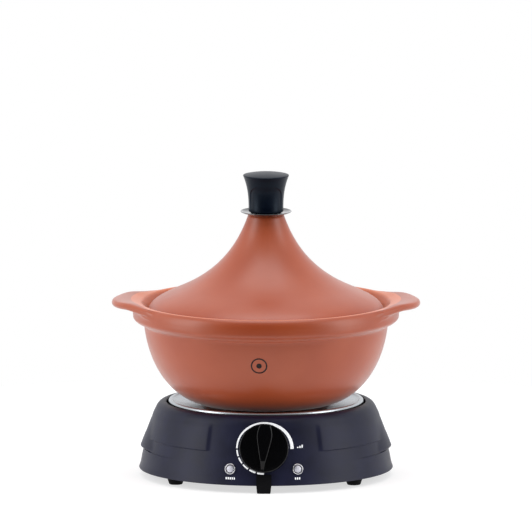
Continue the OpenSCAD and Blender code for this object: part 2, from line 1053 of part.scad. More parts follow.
module internal_leads() {
    lead_r = 1.1;
    pin_h = 27;
    block_y = terminal_xy.y - 8.6;
    to_pin = bezier([
        [terminal_xy.x - 9, block_y, 10],
        [terminal_xy.x - 9, 60, 10],
        [leg_xy(1).x, 60, 16],
        [leg_xy(1).x, leg_xy(1).y, pin_h]
    ], 16);
    to_fuse = bezier([
        [leg_xy(-1).x, leg_xy(-1).y, pin_h],
        [leg_xy(-1).x - 2, 44, 14],
        [fuse_xy.x + 30, fuse_xy.y, 37],
        [fuse_xy.x + 9.4, fuse_xy.y, 37]
    ], 16);
    to_thermostat = bezier([
        [fuse_xy.x - 9.4, fuse_xy.y, 37],
        [-80, 40, 37],
        [-40, -60, 14],
        [-11, -84, 22]
    ], 20);
    to_block = bezier([
        [11, -84, 22],
        [50, -60, 12],
        [terminal_xy.x, 20, 8],
        [terminal_xy.x, block_y, 10]
    ], 20);
    color("gainsboro")
        above_skirt()
            for (path = [to_pin, to_fuse, to_thermostat, to_block])
                tube(path, lead_r);
}

module cord_gland() {
    flange_t = 2.5;
    barrel_h = 13;
    color([0.12, 0.12, 0.13])
        translate([0, gland_face_y + gap, foot_gap + gland_h])
            rotate([90, 0, 0])
                difference() {
                    union() {
                        translate([0, 0, -flange_t])
                            cylinder(r = 8.6, h = flange_t);
                        cylinder(r = 6.5, h = barrel_h);
                        translate([0, 0, barrel_h - 2])
                            cylinder(r = 8.4, h = 2);
                    }
                    translate([0, 0, -flange_t - 1])
                        cylinder(r = gland_bore_r, h = barrel_h + flange_t + 2);
                }
}

lid_shell();
lid_knob();
knob_collar();
knob_insert();
lid_bolt();
lid_bolt_washer();
lid_bolt_gasket();
bowl();
base_housing();
bottom_cover();
front_foot();
rubber_foot(-1, -1);  // foot_front_left
rubber_foot(1, -1);  // foot_front_right
rubber_foot(-1, 1);  // foot_rear_left
rubber_foot(1, 1);  // foot_rear_right
foot_screws();
front_foot_screw();
cover_screws();
hot_plate();
element_tube();
element_pins();
element_clamp();
reflector_pan();
insulation_ring();
plate_studs();
clamp_nuts();
hold_down_bar();
pan_nuts();
thermostat_body();
thermostat_bush();
thermostat_nut();
thermostat_bracket();
bracket_screws();
thermostat_spindle();
control_knob();
knob_spring_clip();
lamp_bezel(-lamp_az);  // power_lamp_bezel
lamp_bezel(lamp_az);  // heat_lamp_bezel
lamp_lens(-lamp_az);  // power_lamp_lens
lamp_lens(lamp_az);  // heat_lamp_lens
lamp_neon(-lamp_az);  // power_lamp_neon
lamp_neon(lamp_az);  // heat_lamp_neon
lamp_clip(-lamp_az);  // power_lamp_clip
lamp_clip(lamp_az);  // heat_lamp_clip
thermal_fuse();
terminal_block();
terminal_screws();
internal_leads();
cord_gland();
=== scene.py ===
import json
import math

import bmesh
import bpy
from mathutils import Matrix, Vector


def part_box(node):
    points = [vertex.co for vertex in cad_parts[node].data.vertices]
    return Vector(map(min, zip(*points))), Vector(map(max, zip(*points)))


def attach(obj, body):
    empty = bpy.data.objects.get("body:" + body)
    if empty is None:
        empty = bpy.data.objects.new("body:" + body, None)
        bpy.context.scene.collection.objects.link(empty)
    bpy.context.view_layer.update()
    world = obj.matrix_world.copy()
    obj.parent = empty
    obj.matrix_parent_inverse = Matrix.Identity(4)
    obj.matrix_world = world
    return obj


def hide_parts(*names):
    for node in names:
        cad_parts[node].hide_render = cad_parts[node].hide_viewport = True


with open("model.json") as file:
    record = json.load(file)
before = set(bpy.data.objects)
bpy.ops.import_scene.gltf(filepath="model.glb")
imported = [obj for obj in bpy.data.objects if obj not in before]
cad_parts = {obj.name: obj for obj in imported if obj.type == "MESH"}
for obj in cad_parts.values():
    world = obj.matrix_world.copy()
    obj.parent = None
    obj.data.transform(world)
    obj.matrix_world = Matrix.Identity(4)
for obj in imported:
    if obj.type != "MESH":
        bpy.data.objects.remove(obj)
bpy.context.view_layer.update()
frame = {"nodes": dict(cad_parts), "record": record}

MM = 0.001
ON_AXIS = 1e-6


# ---------------------------------------------------------------- camera, light and stage

CAMERA_ELEVATION = 8.9
CAMERA_AZIMUTH = 1.0
CAMERA_DISTANCE = 3.0
VIEW_WIDTH = 0.532
AIM = Vector((0.0, 0.0, 0.2105))
LIGHT_AIM = (0, 0, 0.2)
SIDE_BOX = (0.8, 1.3)
TOP_BOX = (1.3, 1.1)
FLOOR_R = 0.62
FLOOR_GREY = 0.45
FLOOR_GLOW = 0.62


def make_camera():
    data = bpy.data.cameras.new("camera")
    data.type = "ORTHO"
    data.ortho_scale = VIEW_WIDTH
    data.clip_start = 0.1
    data.clip_end = 30
    camera = bpy.data.objects.new("camera", data)
    tilt, turn = math.radians(CAMERA_ELEVATION), math.radians(CAMERA_AZIMUTH)
    level = math.cos(tilt)
    back = Vector((math.sin(turn) * level, -math.cos(turn) * level, math.sin(tilt)))
    camera.location = AIM + CAMERA_DISTANCE * back
    camera.rotation_euler = (math.radians(90) - tilt, 0, turn)
    bpy.context.scene.collection.objects.link(camera)
    bpy.context.scene.camera = camera


def softbox(name, place, aim, size, power):
    """A rectangular area light of size (width, height) at place, facing aim."""
    data = bpy.data.lights.new(name, "AREA")
    data.shape = "RECTANGLE"
    data.size, data.size_y = size
    data.energy = power
    lamp = bpy.data.objects.new(name, data)
    lamp.location = place
    lamp.rotation_euler = (Vector(aim) - Vector(place)).to_track_quat("-Z", "Y").to_euler()
    lamp.visible_camera = False
    bpy.context.scene.collection.objects.link(lamp)


def make_world():
    """A white light tent, dimmer on the side of the room where the camera stands."""
    world = bpy.data.worlds.new("studio")
    bpy.context.scene.world = world
    world.use_nodes = True
    nodes, links = world.node_tree.nodes, world.node_tree.links
    nodes.clear()
    path = nodes.new("ShaderNodeLightPath")
    seen = nodes.new("ShaderNodeBackground")
    lit = nodes.new("ShaderNodeBackground")
    mix = nodes.new("ShaderNodeMixShader")
    out = nodes.new("ShaderNodeOutputWorld")
    way = nodes.new("ShaderNodeTexCoord")
    parts = nodes.new("ShaderNodeSeparateXYZ")
    fall = nodes.new("ShaderNodeMapRange")
    fall.interpolation_type = "SMOOTHSTEP"
    fall_off = {"From Min": -0.95, "From Max": -0.2, "To Min": 0.06, "To Max": 1.0}
    for socket, value in fall_off.items():
        fall.inputs[socket].default_value = value
    seen.inputs["Color"].default_value = (1, 1, 1, 1)
    lit.inputs["Color"].default_value = (0.97, 0.98, 1.0, 1)
    links.new(way.outputs["Generated"], parts.inputs[0])
    links.new(parts.outputs["Y"], fall.inputs["Value"])
    links.new(fall.outputs["Result"], lit.inputs["Strength"])
    links.new(path.outputs["Is Camera Ray"], mix.inputs["Fac"])
    links.new(lit.outputs[0], mix.inputs[1])
    links.new(seen.outputs[0], mix.inputs[2])
    links.new(mix.outputs[0], out.inputs["Surface"])


def make_stage():
    """Three softboxes, and a pale glowing disc that stands in for the photo's white floor."""
    bpy.context.scene.view_settings.view_transform = "Standard"
    softbox("left_box", (-1.45, -0.5, 0.55), LIGHT_AIM, SIDE_BOX, 10)
    softbox("right_box", (1.45, -0.45, 0.55), LIGHT_AIM, SIDE_BOX, 8.5)
    softbox("top_box", (0, -0.1, 1.7), LIGHT_AIM, TOP_BOX, 11)
    mesh = bpy.data.meshes.new("floor")
    rim = [(FLOOR_R * math.cos(a), FLOOR_R * math.sin(a), 0) for a in even_angles(128)]
    mesh.from_pydata(rim, [], [tuple(range(len(rim)))])
    floor = bpy.data.objects.new("floor", mesh)
    bpy.context.scene.collection.objects.link(floor)
    material = bpy.data.materials.new("pale_floor")
    material.use_nodes = True
    shader = material.node_tree.nodes["Principled BSDF"]
    shader.inputs["Base Color"].default_value = (FLOOR_GREY, FLOOR_GREY, FLOOR_GREY, 1)
    shader.inputs["Roughness"].default_value = 0.9
    shader.inputs["Specular IOR Level"].default_value = 0.1
    shader.inputs["Emission Color"].default_value = (1, 1, 1, 1)
    shader.inputs["Emission Strength"].default_value = FLOOR_GLOW
    mesh.materials.append(material)


# ---------------------------------------------------------------- materials

class Surface:
    """A Principled material, with short calls for the procedural detail laid over it."""

    def __init__(self, name, color, roughness, metallic=0.0, **sockets):
        self.material = bpy.data.materials.new(name)
        self.material.use_nodes = True
        self.nodes = self.material.node_tree.nodes
        self.links = self.material.node_tree.links
        self.shader = self.nodes["Principled BSDF"]
        self.set("Base Color", (*color, 1))
        self.set("Roughness", roughness)
        self.set("Metallic", metallic)
        for socket, value in sockets.items():
            self.set(socket.replace("_", " "), value)
        self.place = self.nodes.new("ShaderNodeTexCoord").outputs["Object"]

    def set(self, socket, value):
        self.shader.inputs[socket].default_value = value

    def noise(self, scale, detail=2.0, stretch=(1, 1, 1), roughness=0.5):
        mapping = self.nodes.new("ShaderNodeMapping")
        mapping.inputs["Scale"].default_value = stretch
        texture = self.nodes.new("ShaderNodeTexNoise")
        texture.inputs["Scale"].default_value = scale
        texture.inputs["Detail"].default_value = detail
        texture.inputs["Roughness"].default_value = roughness
        self.links.new(self.place, mapping.inputs["Vector"])
        self.links.new(mapping.outputs[0], texture.inputs["Vector"])
        return texture.outputs["Fac"]

    def ramp(self, source, stops):
        """Maps a 0 to 1 value through (position, colour) stops."""
        ramp = self.nodes.new("ShaderNodeValToRGB")
        elements = ramp.color_ramp.elements
        while len(elements) < len(stops):
            elements.new(0.5)
        for element, (position, color) in zip(elements, stops):
            element.position = position
            element.color = (*color, 1)
        self.links.new(source, ramp.inputs["Fac"])
        return ramp.outputs["Color"]

    def span(self, source, low, high, start=0.0, end=1.0):
        """Maps source from [start, end] to [low, high]."""
        spread = self.nodes.new("ShaderNodeMapRange")
        spread.inputs["From Min"].default_value = start
        spread.inputs["From Max"].default_value = end
        spread.inputs["To Min"].default_value = low
        spread.inputs["To Max"].default_value = high
        self.links.new(source, spread.inputs["Value"])
        return spread.outputs["Result"]

    def math(self, operation, a, b):
        node = self.nodes.new("ShaderNodeMath")
        node.operation = operation
        for socket, value in zip(node.inputs, (a, b)):
            if isinstance(value, (int, float)):
                socket.default_value = value
            else:
                self.links.new(value, socket)
        return node.outputs[0]

    def color(self, source):
        self.links.new(source, self.shader.inputs["Base Color"])

    def roughness(self, source):
        self.links.new(source, self.shader.inputs["Roughness"])

    def bump(self, source, strength, distance):
        node = self.nodes.new("ShaderNodeBump")
        node.inputs["Strength"].default_value = strength
        node.inputs["Distance"].default_value = distance
        self.links.new(source, node.inputs["Height"])
        last = self.shader.inputs["Normal"]
        if last.is_linked:
            self.links.new(last.links[0].from_socket, node.inputs["Normal"])
        self.links.new(node.outputs[0], last)

    def radius(self):
        """Distance from the object's vertical axis."""
        parts = self.nodes.new("ShaderNodeSeparateXYZ")
        self.links.new(self.place, parts.inputs[0])
        x2, y2 = (self.math("POWER", parts.outputs[axis], 2.0) for axis in "XY")
        return self.math("SQRT", self.math("ADD", x2, y2), 0.0)


def glaze(name, dark, middle, light, roughness, sheen):
    """Satin glaze over red clay: soft mottling, fine specks and an orange-peel surface."""
    s = Surface(name, middle, roughness, Specular_IOR_Level=0.62,
                Sheen_Weight=sheen, Sheen_Roughness=0.32)
    cloud = s.noise(14, 4)
    s.color(s.ramp(cloud, [(0.3, dark), (0.5, middle), (0.72, light)]))
    s.roughness(s.span(s.noise(60, 3), roughness - 0.05, roughness + 0.07))
    s.bump(s.noise(900, 2), 0.05, 0.0004)
    s.bump(s.noise(38, 2), 0.05, 0.002)
    return s.material


def moulded(name, color, roughness, grain=1500, depth=0.12, tint=0.25, **sockets):
    """Moulded plastic with a fine spark-eroded texture and a little colour drift."""
    s = Surface(name, color, roughness, **sockets)
    low = tuple(c * (1 - tint) for c in color)
    high = tuple(c * (1 + tint) for c in color)
    s.color(s.ramp(s.noise(45, 3), [(0.3, low), (0.7, high)]))
    s.roughness(s.span(s.noise(90, 3), roughness - 0.05, roughness + 0.06))
    s.bump(s.noise(grain, 2), depth, 0.0003)
    return s.material


def pressed_aluminium(name):
    """Spun aluminium: rings turned round the axis, and a soft satin finish."""
    s = Surface(name, (0.46, 0.49, 0.51), 0.2, 1.0, Anisotropic=0.2)
    rings = s.nodes.new("ShaderNodeTexNoise")
    rings.noise_dimensions = "1D"
    rings.inputs["Scale"].default_value = 2600
    rings.inputs["Detail"].default_value = 3
    s.links.new(s.radius(), rings.inputs["W"])
    s.color(s.ramp(rings.outputs["Fac"], [(0.25, (0.42, 0.45, 0.48)), (0.75, (0.52, 0.55, 0.57))]))
    s.roughness(s.span(s.noise(25, 3), 0.2, 0.28))
    s.bump(rings.outputs["Fac"], 0.08, 0.0002)
    return s.material


def drawn_steel(name, color, roughness, scale):
    """Drawn or turned metal with fine streaks across it."""
    s = Surface(name, color, roughness, 1.0)
    streaks = s.noise(scale, 3, (1, 1, 8))
    low = tuple(c * 0.8 for c in color)
    s.color(s.ramp(streaks, [(0.3, low), (0.7, color)]))
    s.roughness(s.span(s.noise(120, 2), roughness - 0.06, roughness + 0.08))
    s.bump(streaks, 0.06, 0.0002)
    return s.material


def clear_plastic(name, color, roughness, clear):
    """Glass or clear moulding. clear is how much light passes through."""
    s = Surface(name, color, roughness, Transmission_Weight=clear, IOR=1.49)
    s.roughness(s.span(s.noise(400, 2), roughness, roughness + 0.08))
    return s.material


def ink_with_painted_glow(name, color):
    """Matt ink with a painted glow, which lights it a little so that it keeps its colour in shade."""
    s = Surface(name, color, 0.5, Emission_Color=(*color, 1), Emission_Strength=0.4)
    s.color(s.ramp(s.noise(700, 2), [(0.3, tuple(c * 0.9 for c in color)), (0.6, color)]))
    s.roughness(s.span(s.noise(300, 2), 0.42, 0.56))
    return s.material


# name: dark, middle and light colour, roughness, sheen
GLAZES = {
    "terracotta_glaze": ((0.34, 0.05, 0.009), (0.37, 0.06, 0.012), (0.4, 0.071, 0.018), 0.37, 0.5),
    # Lighter copy for the rim's crest strip and inner wall: painted light, a painted highlight on the
    # crest and the wall lifted against shade.
    "rim_glaze_painted_light": ((0.58, 0.13, 0.035), (0.64, 0.155, 0.05), (0.7, 0.18, 0.07), 0.36, 0.3),
    # Brighter copy with more sheen along the seat ledge: a painted highlight.
    "ledge_glaze_painted_highlight": ((0.72, 0.26, 0.11), (0.78, 0.3, 0.13), (0.84, 0.35, 0.17), 0.34, 0.6),
    # Deeper red copy for the insides of bowl and lid: its red is raised as painted light against the shade
    # inside.
    "inner_glaze_painted_light": ((0.52, 0.02, 0.003), (0.58, 0.036, 0.005), (0.64, 0.058, 0.008), 0.3, 0.05),
}

# name: colour, roughness, and what moulded() changes
MOULDINGS = {
    "knob_plastic": ((0.001, 0.003, 0.009), 0.34, dict(
        depth=0.04, Specular_IOR_Level=0.2, Specular_Tint=(0.62, 0.8, 1.0, 1))),
    "collar_plastic": ((0.002, 0.004, 0.008), 0.12, dict(
        depth=0.01, Specular_IOR_Level=0.5, Coat_Weight=1.0, Coat_Roughness=0.03, Coat_IOR=1.7)),
    "housing_plastic": ((0.007, 0.008, 0.026), 0.43, dict(Specular_IOR_Level=0.24)),
    "cover_plastic": ((0.03, 0.03, 0.034), 0.6, dict(depth=0.2)),
    "foot_rubber": ((0.002, 0.002, 0.003), 0.7, dict(depth=0.1, Specular_IOR_Level=0.12)),
    "dial_plastic": ((0.0006, 0.0006, 0.001), 0.2, dict(depth=0.01, Specular_IOR_Level=0.25)),
    "gland_plastic": ((0.016, 0.016, 0.018), 0.5, {}),
    "terminal_nylon": ((0.66, 0.65, 0.6), 0.5, dict(tint=0.06)),
    "silicone": ((0.4, 0.06, 0.03), 0.6, dict(tint=0.1)),
    "lead_sleeve": ((0.6, 0.57, 0.5), 0.6, dict(tint=0.1)),
    "fuse_sleeve": ((0.62, 0.56, 0.38), 0.7, dict(grain=600, tint=0.15)),
    "insulation_felt": ((0.5, 0.43, 0.31), 0.95, dict(grain=400, depth=0.5, tint=0.2)),
    "thermostat_ceramic": ((0.7, 0.66, 0.55), 0.6, dict(tint=0.06)),
}

# name: colour, roughness, streak scale
METALS = {
    "pan_steel": ((0.62, 0.63, 0.64), 0.38, 220),
    "sheath_steel": ((0.28, 0.26, 0.24), 0.5, 220),
    "fastener_steel": ((0.6, 0.6, 0.62), 0.32, 220),
    "brass": ((0.72, 0.5, 0.2), 0.32, 220),
    "bezel_chrome": ((0.95, 0.95, 0.97), 0.14, 60),
}


def make_materials():
    m = {name: glaze(name, *look) for name, look in GLAZES.items()}
    for name, (color, roughness, changes) in MOULDINGS.items():
        m[name] = moulded(name, color, roughness, **changes)
    m["plate_aluminium"] = pressed_aluminium("plate_aluminium")
    for name, look in METALS.items():
        m[name] = drawn_steel(name, *look)
    m["lamp_lens"] = clear_plastic("lamp_lens", (0.86, 0.86, 0.95), 0.06, 0.25)
    m["neon_glass"] = clear_plastic("neon_glass", (0.95, 0.75, 0.55), 0.08, 0.8)
    m["white_print"] = ink_with_painted_glow("white_print", (0.95, 0.96, 0.97))
    m["dark_print"] = ink_with_painted_glow("dark_print", (0.008, 0.004, 0.004))
    return m


def dress_cad_nodes():
    """Gives every CAD node the material of its slot in the record."""
    for part in frame["record"]["subparts"]:
        node = frame["nodes"][part["node"]]
        node.data.materials.clear()
        node.data.materials.append(materials[part["material_slot"]])


# ---------------------------------------------------------------- mesh helpers

def bezier(p, n):
    """n + 1 points along the cubic with control points p."""
    points = []
    for i in range(n + 1):
        t = i / n
        u = 1 - t
        w = (u ** 3, 3 * u * u * t, 3 * u * t * t, t ** 3)
        points.append(tuple(sum(wk * pk[axis] for wk, pk in zip(w, p)) for axis in (0, 1)))
    return points


def arc(centre, r, start, end, n=8):
    """n + 1 points along an arc, angles in degrees."""
    angles = [math.radians(start + (end - start) * i / n) for i in range(n + 1)]
    return [(centre[0] + r * math.cos(a), centre[1] + r * math.sin(a)) for a in angles]


def degrees_off_x(angle):
    """How many degrees an angle is from the X axis, on either side."""
    return math.degrees(math.acos(min(1.0, abs(math.cos(angle)))))


def smooth(t):
    """Eases from 0 to 1."""
    t = min(max(t, 0.0), 1.0)
    return t * t * (3 - 2 * t)


def mix(a, b, t):
    return a + (b - a) * t


def along(points, x):
    """The value at x on the straight lines between (x, value) points."""
    for (x0, v0), (x1, v1) in zip(points, points[1:]):
        if x <= x1:
            return mix(v0, v1, (x - x0) / (x1 - x0))
    return points[-1][1]


def tidy(points, nearest=0.02):
    """Drops points of an outline that lie on the one before."""
    kept = [points[0]]
    for p in points[1:]:
        if math.dist(p, kept[-1]) > nearest:
            kept.append(p)
    return kept


def mesh_from(bm, name):
    mesh = bpy.data.meshes.new(name)
    bm.to_mesh(mesh)
    bm.free()
    return mesh


def finish_mesh(name, mesh, body, material_slots, sharp=32):
    """Makes the piece, with edges over sharp degrees left crisp, and sets it riding its body."""
    piece = bpy.data.objects.new(name, mesh)
    bpy.context.scene.collection.objects.link(piece)
    for m in material_slots:
        mesh.materials.append(materials[m])
    mesh.shade_smooth()
    mesh.set_sharp_from_angle(angle=math.radians(sharp))
    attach(piece, body)
    return piece


def even_angles(n):
    return [2 * math.pi * i / n for i in range(n)]


def revolve(name, body, slots, profile, z0=0.0, angles=None, place=None,
            closed=True, paint=None, sharp=32):
    """Turns an outline about Z: (r, z) in mm, from the axis or round a closed section.

    profile is a list, or a function of the angle that gives lists of one length. place moves the result.
    paint(i) gives the material index of the strip after outline point i."""
    angles = angles or even_angles(192)
    rows = [profile(a) if callable(profile) else profile for a in angles]
    count = len(rows[0])
    bm = bmesh.new()
    columns = []
    poles = {}
    for a, row in zip(angles, rows):
        column = []
        for i, (r, z) in enumerate(row):
            if r < ON_AXIS:
                if i not in poles:
                    poles[i] = bm.verts.new((0, 0, (z + z0) * MM))
                column.append(poles[i])
            else:
                spot = (r * math.cos(a) * MM, r * math.sin(a) * MM, (z + z0) * MM)
                column.append(bm.verts.new(spot))
        columns.append(column)
    last = count if closed else count - 1
    for c in range(len(columns)):
        left, right = columns[c], columns[(c + 1) % len(columns)]
        for i in range(last):
            j = (i + 1) % count
            corners = []
            for v in (left[i], right[i], right[j], left[j]):
                if v not in corners:
                    corners.append(v)
            if len(corners) > 2:
                face = bm.faces.new(corners)
                face.material_index = paint(i) if paint else 0
    bmesh.ops.recalc_face_normals(bm, faces=bm.faces)
    if place:
        bm.transform(place)
    return finish_mesh(name, mesh_from(bm, name), body, slots, sharp)


# ---------------------------------------------------------------- sizes shared with the frame, in mm

FOOT_GAP = 7.5
LID_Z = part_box("lid_shell")[0].z / MM
BOWL_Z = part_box("bowl")[0].z / MM
NECK_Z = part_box("lid_shell")[1].z / MM
BASE_R = 126.4
TILT = math.radians(14.8)
DIAL_H = 36.2
LAMP_AZ = 16.0
LAMP_H = 15.8


def wall_r(h):
    return BASE_R - h * math.tan(TILT)


def on_wall(az, h):
    """Sets +Z along the sloping wall's outward normal and +Y up it, at an azimuth and height."""
    return (
        Matrix.Rotation(math.radians(az), 4, "Z")
        @ Matrix.Translation((0, -wall_r(h) * MM, (FOOT_GAP + h) * MM))
        @ Matrix.Rotation(math.pi / 2 - TILT, 4, "X")
    )


# ---------------------------------------------------------------- lid

LID_R = 117.5
LID_H = 99.5
BEAD_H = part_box("hot_plate")[1].z / MM - FOOT_GAP


def make_lid():
    outer = (
        bezier([(18, LID_H - 0.8), (28.1, 70.1), (44.9, 44.8), (82, 26.9)], 44)
        + bezier([(82, 26.9), (95, 20.6), (LID_R, 13.1), (LID_R, 3)], 30)[1:]
        + arc((LID_R - 3, 3), 3, 0, -90, 8)[1:]
    )
    inner = (
        arc((LID_R - 9, 1.5), 1.5, -90, -180, 5)
        + bezier([(107, 1.5), (107, 7.5), (88, 14.2), (77, 20.4)], 20)[1:]
        + bezier([(77, 20.4), (40, 38.8), (20.5, 66), (10.5, 91.5)], 30)[1:]
    )
    outline = tidy([(4, LID_H), (17.2, LID_H)] + outer + inner + [(9, 92.5), (4, 92.5)])
    rim = len(outline) - len(inner) - 2
    # The lid's underside takes the inside glaze, whose raised red is painted light.
    lid = revolve("lid_cone", "lid", ["terracotta_glaze", "inner_glaze_painted_light"], outline, LID_Z,
                  paint=lambda i: 1 if i > rim + 6 else 0)
    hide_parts("lid_shell")


KNOB_H = 39.0
KNOB_Z0 = 3.4
STEM_H = KNOB_H - 3


def knob_r(z):
    """Radius of the knob's flared stem at height z."""
    t = z / STEM_H
    return 17.4 + 0.9 * smooth(t * 1.15) * t + 4.7 * t ** 3.1


def arch_depth(x, z):
    """How deep the sunken arch face lies at x across and z up, in mm."""
    half_width, spring_h, top_h = 16.0, 17.0, 28.0
    if z <= spring_h:
        edge = half_width - abs(x)
    else:
        t = min((z - spring_h) / (top_h - spring_h), 1.0)
        edge = half_width * math.sqrt(1 - t ** 2.6) - abs(x)
        edge = min(edge, (top_h - z) * 0.9)
    return 0.75 * smooth(edge / 0.7) * smooth((top_h - z) / 9)


def make_lid_knob():
    steps = 80
    top = KNOB_H - 3 - 0.1
    levels = [max(top - i * (KNOB_H - 3.1) / steps, 0.0) for i in reversed(range(steps + 1))]

    def outline(angle):
        stem = [(knob_r(z) - arch_depth(knob_r(z) * math.cos(angle), z), z) for z in levels]
        edge = [(22.95, KNOB_H - 2.75), (22.7, KNOB_H - 2.45)]
        dome = bezier([(22.3, KNOB_H - 2.25), (15, KNOB_H - 0.5), (7, KNOB_H), (0, KNOB_H)], 14)
        return [(0, 24), (13.4, 24), (13.5, 23.4), (13.6, 0.3), (13.8, 0)] + stem + edge + dome

    knob = revolve("knob_cap", "lid", ["knob_plastic"], outline, NECK_Z + KNOB_Z0,
                   even_angles(288), closed=False, sharp=38)
    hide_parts("lid_knob")


def make_collar():
    outline = (
        [(3.2, 0.6), (4.2, 0), (16.5, 0)]
        + bezier([(16.5, 0), (20, 0.3), (23, 1.1), (25.5, 2.9)], 16)[1:]
        + arc((25.25, 3.25), 0.42, -40, 130, 6)[1:]
        + bezier([(24.9, 3.5), (22.4, 1.9), (20, 1.3), (16.5, 1.2)], 16)
        + [(15.2, 3.2), (15, 3.3), (3.2, 3.3)]
    )
    collar = revolve("collar_saucer", "lid", ["collar_plastic"], tidy(outline), NECK_Z)
    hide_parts("knob_collar")


# ---------------------------------------------------------------- bowl

BOWL_R = 133.0
BOWL_H = 102.8
SEAT_H = 90.8
HANDLE_REACH = 21.3
HANDLE_HALF_ANGLE = 40.0
BOWL_GLAZES = ["terracotta_glaze", "rim_glaze_painted_light", "ledge_glaze_painted_highlight", "inner_glaze_painted_light"]


def bowl_wall():
    """The bowl's outer skin below its rim band."""
    return bezier([(60, 0), (91.9, 2.7), (116.8, 34.5), (121.8, 78)], 44)


def handle_share(angle):
    """1 at a handle's middle, falling smoothly to 0 at its root."""
    off = degrees_off_x(angle)
    if off >= HANDLE_HALF_ANGLE:
        return 0.0
    return math.cos(math.pi / 2 * off / HANDLE_HALF_ANGLE) ** 2.6


def rim_section(angle):
    """The rim band from its lower edge over the crest, swelling out into a handle."""
    n, under_n, over_n = 36, 15, 12
    low, crest = (132.9, 87.5), (127.5, BOWL_H)
    plain = bezier([low, (133.1, 90), (133, 91), (133, 92.5)], n // 3)
    plain += bezier([(133, 92.5), (133, 98), (131, BOWL_H), crest], n - n // 3)[1:]
    share = handle_share(angle)
    if share <= 0:
        return plain
    reach = HANDLE_REACH * share
    half = 3.5
    rise = BOWL_H + 3.2 * smooth(share * 1.6)
    mid = rise - half - 0.3 - 0.9 * smooth((share - 0.6) / 0.4)
    hollow = smooth(reach / 5)
    nose = arc((BOWL_R + reach - half, mid), half, -84 * hollow, 84, 10)
    root = (BOWL_R + min(1.2, 0.3 * reach), mid - half - 2.4)
    under = bezier([low, (133.1, 90.5), (133.1, 93), root], 6)
    first, last = nose[0], nose[-1]
    leave = (root[0] + 0.1 * reach, root[1] + 1.4)
    arrive = (mix(root[0], first[0], 0.55), first[1] - 1.5 * (1 - hollow))
    under += bezier([root, leave, arrive, first], under_n - 6)[1:]
    over = bezier([last, (mix(BOWL_R, last[0], 0.75), rise), (BOWL_R, rise), crest], over_n)
    full = (under + nose[1:-1] + over)[:n + 1]
    blend = smooth(share / 0.12)
    return [(mix(a[0], b[0], blend), mix(a[1], b[1], blend)) for a, b in zip(plain, full)]


def make_bowl():
    body = [(0, 0)] + bowl_wall()
    body += bezier([(121.8, 78), (122.3, 81.5), (130.2, 82), (132.7, 86.6)], 10)[1:]
    inside = bezier([
        (127.2, BOWL_H), (124.8, BOWL_H - 0.1), (123.8, BOWL_H - 1.5), (123.2, BOWL_H - 4),
    ], 8)[1:]
    inside += bezier([
        (120.6, SEAT_H + 3), (120.2, SEAT_H + 1), (119.4, SEAT_H), (118, SEAT_H),
    ], 8)
    lip = arc((106, SEAT_H - 2.5), 2.5, 90, 180, 8)
    cavity = bezier([(103.5, SEAT_H - 2.5), (104.5, 78), (107.5, 74), (107.3, 62)], 12)[1:]
    cavity += bezier([(107.3, 62), (106.5, 30), (84, 9.4), (52, 9)], 40)[1:] + [(0, 9)]
    seat_end = len(body) + len(rim_section(math.pi / 2)) + len(inside) + len(lip)
    cavity_from = seat_end - 3
    ledge_from = seat_end - len(lip) - 5
    rim_from = seat_end - len(lip) - len(inside) - 4

    # From rim_from on, the strips take lighter copies of the glaze as painted light: crest and inner wall,
    # then the ledge's painted highlight, then the redder inside.
    def glaze_at(i):
        return sum(i >= start for start in (rim_from, ledge_from, cavity_from))

    def outline(angle):
        return body + rim_section(angle) + inside + lip + cavity

    angles = []
    a = 0.0
    while a < 359.99:
        angles.append(math.radians(a))
        near_handle = min(a % 180, 180 - a % 180) < HANDLE_HALF_ANGLE + 2
        a += 0.8 if near_handle else 1.6
    bowl = revolve("stoneware_bowl", "bowl", BOWL_GLAZES, outline, BOWL_Z,
                   angles, closed=False, paint=glaze_at, sharp=60)
    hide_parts("bowl")


# ---------------------------------------------------------------- base

BASE_H = 67.0
OPENING_R = 99.5
WALL = 2.6
WALL_TOP = 57
PANEL_HALF_ANGLE = 61.5
PANEL_PROUD = 1.25
LUG_SHIFT = 49.0
LUG_PROFILE = [
    (20.0, 76.6), (22.8, 76.6), (25.0, 75.6), (27.6, 74.8), (30.5, 73.6),
    (33.9, 72.2), (37.5, 70.6), (41.4, 69.1), (46, 67.3), (50.5, 65.5),
]


def panel_swell(angle, h):
    """How far the housing's skin stands out of its plain cone at that angle and height."""
    off = degrees_off_x(angle)
    fade_up = 1 - smooth((h - 53) / 8)
    fade_in = smooth((PANEL_HALF_ANGLE - off) / 3.0 + 0.5) * smooth((h - 31.6) / 0.9)
    panel = PANEL_PROUD * fade_in * fade_up
    lug = 1.3 * smooth(h / 16) * smooth((21.5 - h) / 1.0) * smooth((44 - off) / 12)
    if 20 < h < 50:
        turn = math.radians(off)
        across = LUG_SHIFT * math.sin(turn)
        away = LUG_SHIFT * math.cos(turn) + math.sqrt(max(0.0, lug_r(h) ** 2 - across ** 2))
        lug = max(0.0, away - wall_r(h)) * smooth((h - 19.8) / 2.2)
    blend = 0.6
    return 0.5 * (panel + lug + math.sqrt((panel - lug) ** 2 + blend ** 2) - blend)


def lug_r(h):
    """The finger lug's radius about its own shifted axis, at that height."""
    return along(LUG_PROFILE, h)


def housing_levels():
    levels = [0, 0.5, 1.5, 3, 5, 8, 12, 16, 19, 20, 20.4, 20.8, 21.2, 21.6, 22, 23, 25, 27, 29, 30.8]
    levels += [31.4, 31.6, 31.9, 32.2, 32.5, 32.9, 33.6, 35]
    return levels + [35 + (WALL_TOP - 35) * i / 14 for i in range(1, 15)]


